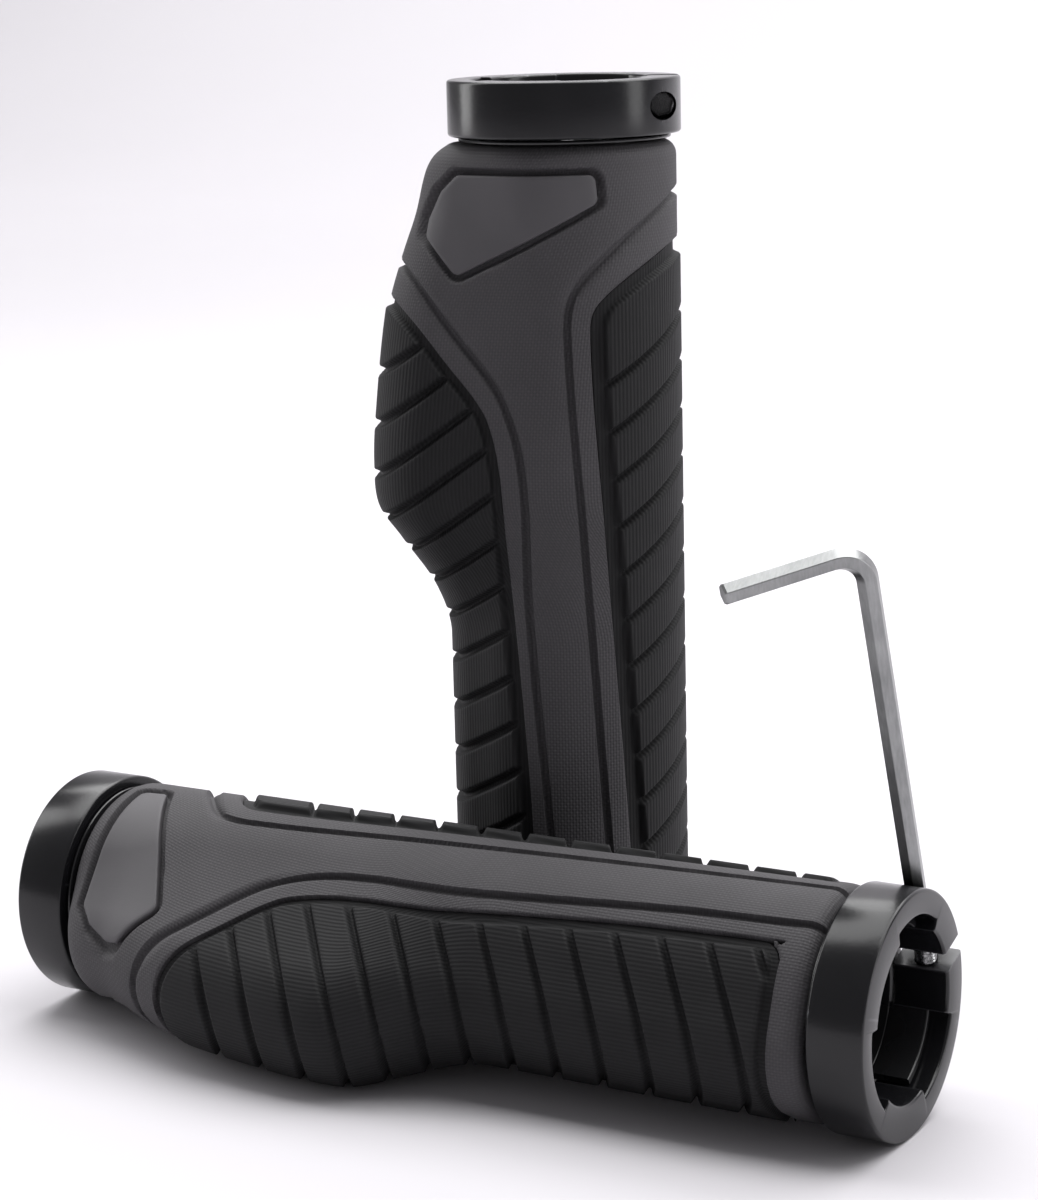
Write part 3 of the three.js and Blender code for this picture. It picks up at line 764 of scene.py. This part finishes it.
def blend(tree, *terms):
    """Weighted sum of (value, weight) terms, the last two added first."""
    total = maths(tree, "MULTIPLY", *terms[-1])
    for term in reversed(terms[:-1]):
        total = maths(tree, "ADD", maths(tree, "MULTIPLY", *term), total)
    return total


def bump(tree, shader, height, distance, strength=1.0):
    made = node(tree, "ShaderNodeBump", {"Height": height, "Distance": distance, "Strength": strength})
    tree.links.new(made.outputs["Normal"], shader.inputs["Normal"])


def hollow_shade_range(tree, closed_at, open_at, closed_value, open_value):
    """A value that goes from one figure in holes and slots to another in the open, read from ambient
    occlusion: it paints shade into the hollows.
    """
    reach = {"Distance": HOLLOW_SHADE_REACH}
    enclosed = node(tree, "ShaderNodeAmbientOcclusion", reach, samples=6).outputs["AO"]
    made = node(tree, "ShaderNodeMapRange", {"Value": enclosed, "From Min": closed_at, "From Max": open_at,
                                             "To Min": closed_value, "To Max": open_value})
    return made.outputs["Result"]


def mix(tree, factor, first, second):
    made = node(tree, "ShaderNodeMix", {"Factor": factor, 6: first, 7: second}, data_type="RGBA")
    return made.outputs[2]


def woven_rubber():
    """Grey rubber moulded with a fine over-and-under weave."""
    made, tree, shader = material("grey_rubber")
    place, around, along = skin_place(tree)
    warp, weft = wave(tree, around, WEAVE_PITCH), wave(tree, along, WEAVE_PITCH)
    over, under = (maths(tree, "MULTIPLY", wave(tree, around, 2 * WEAVE_PITCH, phase),
                         wave(tree, along, 2 * WEAVE_PITCH, phase)) for phase in (0.0, math.pi))
    check = maths(tree, "MAXIMUM", over, under)
    height = blend(tree, (check, 0.3), (warp, 0.35), (weft, 0.25))
    cloud = noise(tree, place, 0.09)
    grain = noise(tree, place, 3.0, 2.0)
    shade = blend(tree, (height, 0.5), (cloud, 0.35), (grain, 0.2))
    colour = ramp(tree, shade, [(0.15, (0.036, 0.0342, 0.0368)), (0.5, (0.056, 0.0535, 0.0575)),
                                (0.95, (0.084, 0.08, 0.0855))])
    tree.links.new(colour, shader.inputs["Base Color"])
    tree.links.new(spread(tree, grain, 0.62, 0.84), shader.inputs["Roughness"])
    shader.inputs["Specular IOR Level"].default_value = 0.35
    bump(tree, shader, height, 0.00009, 0.8)
    return made


def ribbed_rubber():
    """Near-black rubber whose rib tops carry fine lines along the grip."""
    made, tree, shader = material("black_rubber")
    place, around, _ = skin_place(tree)
    lines = wave(tree, around, FINE_LINE_PITCH)
    grain = noise(tree, place, 4.0, 3.0)
    cloud = noise(tree, place, 0.12)
    height = blend(tree, (lines, 0.8), (grain, 0.25))
    shade = blend(tree, (lines, 0.35), (cloud, 0.45), (grain, 0.25))
    colour = ramp(tree, shade, [(0.2, (0.0075, 0.0075, 0.008)), (0.9, (0.019, 0.0188, 0.02))])
    tree.links.new(colour, shader.inputs["Base Color"])
    tree.links.new(spread(tree, grain, 0.58, 0.78), shader.inputs["Roughness"])
    shader.inputs["Specular IOR Level"].default_value = 0.22
    bump(tree, shader, height, 0.00007, 0.7)
    return made


def smooth_rubber():
    """Satin grey panel with only a faint moulding grain."""
    made, tree, shader = material("smooth_rubber")
    place = node(tree, "ShaderNodeTexCoord").outputs["Object"]
    cloud, grain = noise(tree, place, 70.0), noise(tree, place, 3500.0, 2.0)
    colour = ramp(tree, cloud, [(0.3, (0.072, 0.069, 0.074)), (0.7, (0.088, 0.084, 0.09))])
    tree.links.new(colour, shader.inputs["Base Color"])
    tree.links.new(spread(tree, grain, 0.5, 0.62), shader.inputs["Roughness"])
    shader.inputs["Specular IOR Level"].default_value = 0.35
    bump(tree, shader, grain, 0.00002, 0.5)
    return made


def moulded_nylon():
    """Glossy black plastic with slight flow marks."""
    made, tree, shader = material("sleeve_nylon")
    place = node(tree, "ShaderNodeTexCoord").outputs["Object"]
    flow, grain = noise(tree, place, 60.0), noise(tree, place, 1800.0, 2.0)
    colour = ramp(tree, flow, [(0.3, (0.007, 0.007, 0.008)), (0.7, (0.014, 0.014, 0.015))])
    tree.links.new(colour, shader.inputs["Base Color"])
    tree.links.new(spread(tree, flow, 0.18, 0.34), shader.inputs["Roughness"])
    bump(tree, shader, grain, 0.00002, 0.4)
    return made


def anodised_aluminium():
    """Black anodised metal with fine turning marks and lighter worn edges, with its specular dimmed in holes
    and slots as painted shade.
    """
    made, tree, shader = material("ring_aluminium")
    place = node(tree, "ShaderNodeTexCoord").outputs["Object"]
    grain, cloud = noise(tree, place, 2600.0, 2.0), noise(tree, place, 90.0)
    edge = node(tree, "ShaderNodeNewGeometry").outputs["Pointiness"]
    worn = node(tree, "ShaderNodeMapRange",
                {"Value": edge, "From Min": 0.53, "From Max": 0.6}).outputs["Result"]
    base = ramp(tree, cloud, [(0.3, (0.006, 0.006, 0.007)), (0.7, (0.01, 0.01, 0.0115))])
    tree.links.new(mix(tree, worn, base, (0.07, 0.07, 0.075, 1)), shader.inputs["Base Color"])
    # Painted shade: the specular level drops inside holes and slots, where ambient occlusion is low.
    specular_with_painted_shade = hollow_shade_range(tree, 0.25, 0.75, 0.03, 0.42)
    tree.links.new(specular_with_painted_shade, shader.inputs["Specular IOR Level"])
    shader.inputs["Metallic"].default_value = 0.1
    tree.links.new(spread(tree, grain, 0.17, 0.27), shader.inputs["Roughness"])
    bump(tree, shader, grain, 0.000015, 0.5)
    return made


def bright_steel(name, dark, light, smooth, rough):
    """Plated steel with drawn streaks and small stains, turned near black in holes and sockets as painted
    shade.
    """
    made, tree, shader = material(name)
    place = node(tree, "ShaderNodeTexCoord").outputs["Object"]
    stretch = node(tree, "ShaderNodeMapping", {"Vector": place, "Scale": (9.0, 3.0, 1.0)}).outputs["Vector"]
    streaks, cloud = noise(tree, stretch, 420.0), noise(tree, place, 160.0)
    colour = ramp(tree, maths(tree, "MULTIPLY_ADD", cloud, 0.6, maths(tree, "MULTIPLY", streaks, 0.4)),
                  [(0.3, dark), (0.7, light)])
    # Painted shade: the colour goes near black where ambient occlusion finds the steel inside a hole or
    # socket.
    unshaded_share = hollow_shade_range(tree, 0.3, 0.6, 0.06, 1.0)
    tree.links.new(mix(tree, unshaded_share, (0.004, 0.0035, 0.003, 1), colour), shader.inputs["Base Color"])
    shader.inputs["Metallic"].default_value = 1.0
    tree.links.new(spread(tree, streaks, smooth, rough), shader.inputs["Roughness"])
    bump(tree, shader, streaks, 0.000012, 0.5)
    return made


MATERIALS = {
    "grey_rubber": woven_rubber(),
    "black_rubber": ribbed_rubber(),
    "smooth_rubber": smooth_rubber(),
    "sleeve_nylon": moulded_nylon(),
    "ring_aluminium": anodised_aluminium(),
    "screw_steel": bright_steel("screw_steel", (0.42, 0.42, 0.43), (0.66, 0.66, 0.67), 0.2, 0.35),
    "key_steel": bright_steel("key_steel", (0.2, 0.205, 0.205), (0.34, 0.345, 0.345), 0.26, 0.42),
}
SLOTS = {entry["node"]: entry["material_slot"] for entry in frame["record"]["subparts"]}
JOINTS = {joint["name"]: joint for joint in frame["joints"]}


# ---- Assembly ----
def dress(piece, cad_node, body, pose):
    """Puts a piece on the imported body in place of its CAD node, with the node's material."""
    piece.data.transform(pose)
    slot = SLOTS[cad_node]
    piece.data.materials.clear()
    piece.data.materials.append(MATERIALS[slot])
    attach(piece, body)
    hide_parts(cad_node)


def grip_pose(grip):
    """The grip's axes and length in millimetres, read from its packed joints and boxes."""
    axis = Vector(JOINTS[f"{grip}_outboard_ring_pull"]["axis"])
    face = Vector(JOINTS[f"{grip}_outboard_screw_turn"]["axis"])
    wing = face.cross(axis)
    low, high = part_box(f"{grip}_core_sleeve")
    ends = [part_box(f"{grip}_{end}_ring") for end in ("inboard", "outboard")]
    spans = [sorted(corner.dot(axis) for corner in pair) for pair in ends]
    length = max(map(max, spans)) - min(map(min, spans))
    width = spans[0][1] - spans[0][0]
    origin = (low + high) / 2 - axis * length / 2
    turn = Matrix((wing, face, axis)).transposed().to_4x4()
    return Matrix.Translation(origin) @ turn, length / MM, width / MM


def build_grip(grip):
    """All the pieces of one grip; the key goes with the lying one, whose screw holds it."""
    pose, length, ring_width = grip_pose(grip)
    body = f"{grip}_grip"
    first = ring_width + FIT + COLLAR_WIDTH + FIT
    middle = ring_width / 2
    soft = {
        "rubber_body": lambda name: rubber_body(name, length, first),
        "palm_pad": lambda name: pad(name, length, PALM_BORDER, PALM_END, 1, palm_ribs, PALM_CHANNEL),
        "finger_pad": lambda name: pad(name, length, FINGER_BORDER, FINGER_END, -1, finger_ribs,
                                       FINGER_CHANNEL),
        "upper_inlay": lambda name: inlay(name, length, 1),
        "lower_inlay": lambda name: inlay(name, length, -1),
        "core_sleeve": lambda name: core_sleeve(name, length, ring_width),
    }
    for part, make in soft.items():
        dress(make(f"{grip}_{part}_finished"), f"{grip}_{part}", body, pose)
    for end, height in (("inboard", 0.0), ("outboard", length - ring_width)):
        part = f"{grip}_{end}"
        dress(clamp_ring(f"{part}_ring_finished", ring_width, height), f"{part}_ring", f"{part}_ring", pose)
        screw = clamp_screw(f"{part}_screw_finished", height + middle)
        dress(screw, f"{part}_screw", f"{part}_screw", pose)
    if grip == "lying":
        dress(hex_key("hex_key_finished", middle), "hex_key", "hex_key", pose)


for grip_name in ("lying", "standing"):
    build_grip(grip_name)


# ---- Stage ----
def add_floor():
    """A pale sheet that runs level under the object and curves up well behind it."""
    rings = []
    width, front, bend, rise, top = 3.0, -2.0, 1.2, 0.9, 3.0
    curve = np.linspace(0.1, math.pi / 2, 14)
    for x in (-width, width):
        line = [(x, front, 0.0), (x, bend, 0.0)]
        line += [(x, bend + rise * math.sin(a), rise * (1 - math.cos(a))) for a in curve]
        line.append((x, bend + rise, top))
        rings.append(line)
    points = np.array(rings) / MM
    faces = grid_faces(2, len(rings[0]))
    floor = mesh_object("studio_floor", points, faces.tolist())
    floor.data.polygons.foreach_set("use_smooth", [True] * len(floor.data.polygons))
    made, tree, shader = material("studio_paper")
    place = node(tree, "ShaderNodeTexCoord").outputs["Object"]
    colour = ramp(tree, noise(tree, place, 3.0), [(0.3, (0.56, 0.545, 0.57)), (0.7, (0.57, 0.555, 0.58))])
    tree.links.new(colour, shader.inputs["Base Color"])
    shader.inputs["Roughness"].default_value = 0.9
    floor.data.materials.append(made)


def add_light(name, place, target, size, power):
    lamp = bpy.data.lights.new(name, "AREA")
    lamp.shape = "RECTANGLE"
    lamp.size, lamp.size_y = size
    lamp.energy = power
    light = bpy.data.objects.new(name, lamp)
    bpy.context.scene.collection.objects.link(light)
    light.location = place
    light.rotation_euler = (Vector(target) - Vector(place)).to_track_quat("-Z", "Y").to_euler()


def add_camera():
    camera = bpy.data.cameras.new("camera")
    camera.lens = CAMERA_LENS
    camera.sensor_width = SENSOR_WIDTH
    camera.clip_start, camera.clip_end = 0.02, 20
    holder = bpy.data.objects.new("camera", camera)
    bpy.context.scene.collection.objects.link(holder)
    level = math.cos(CAMERA_PITCH)
    forward = Vector((-math.sin(CAMERA_AZIMUTH) * level, math.cos(CAMERA_AZIMUTH) * level,
                      -math.sin(CAMERA_PITCH)))
    turn = forward.to_track_quat("-Z", "Y") @ Matrix.Rotation(CAMERA_ROLL, 4, "Z").to_quaternion()
    holder.location = CAMERA_PLACE
    holder.rotation_mode = "QUATERNION"
    holder.rotation_quaternion = turn
    bpy.context.scene.camera = holder


add_floor()
CENTRE = (0, 0, 0.05)
add_light("overhead", (0.0, 0.12, 0.8), CENTRE, (1.2, 0.6), 9.5)
add_light("left_window", (-0.75, -0.1, 0.35), CENTRE, (0.25, 0.9), 3.0)
add_light("right_window", (0.75, 0.2, 0.4), CENTRE, (0.25, 0.9), 2.2)
add_light("backdrop_light", (0.0, 1.4, 1.7), (0.0, 1.9, 0.3), (3.4, 1.2), 66.0)
world = bpy.data.worlds.new("studio")
bpy.context.scene.world = world
world.use_nodes = True
world.node_tree.nodes["Background"].inputs["Color"].default_value = (0.97, 0.955, 0.985, 1)
world.node_tree.nodes["Background"].inputs["Strength"].default_value = 0.27
bpy.context.scene.view_settings.view_transform = "Standard"
add_camera()
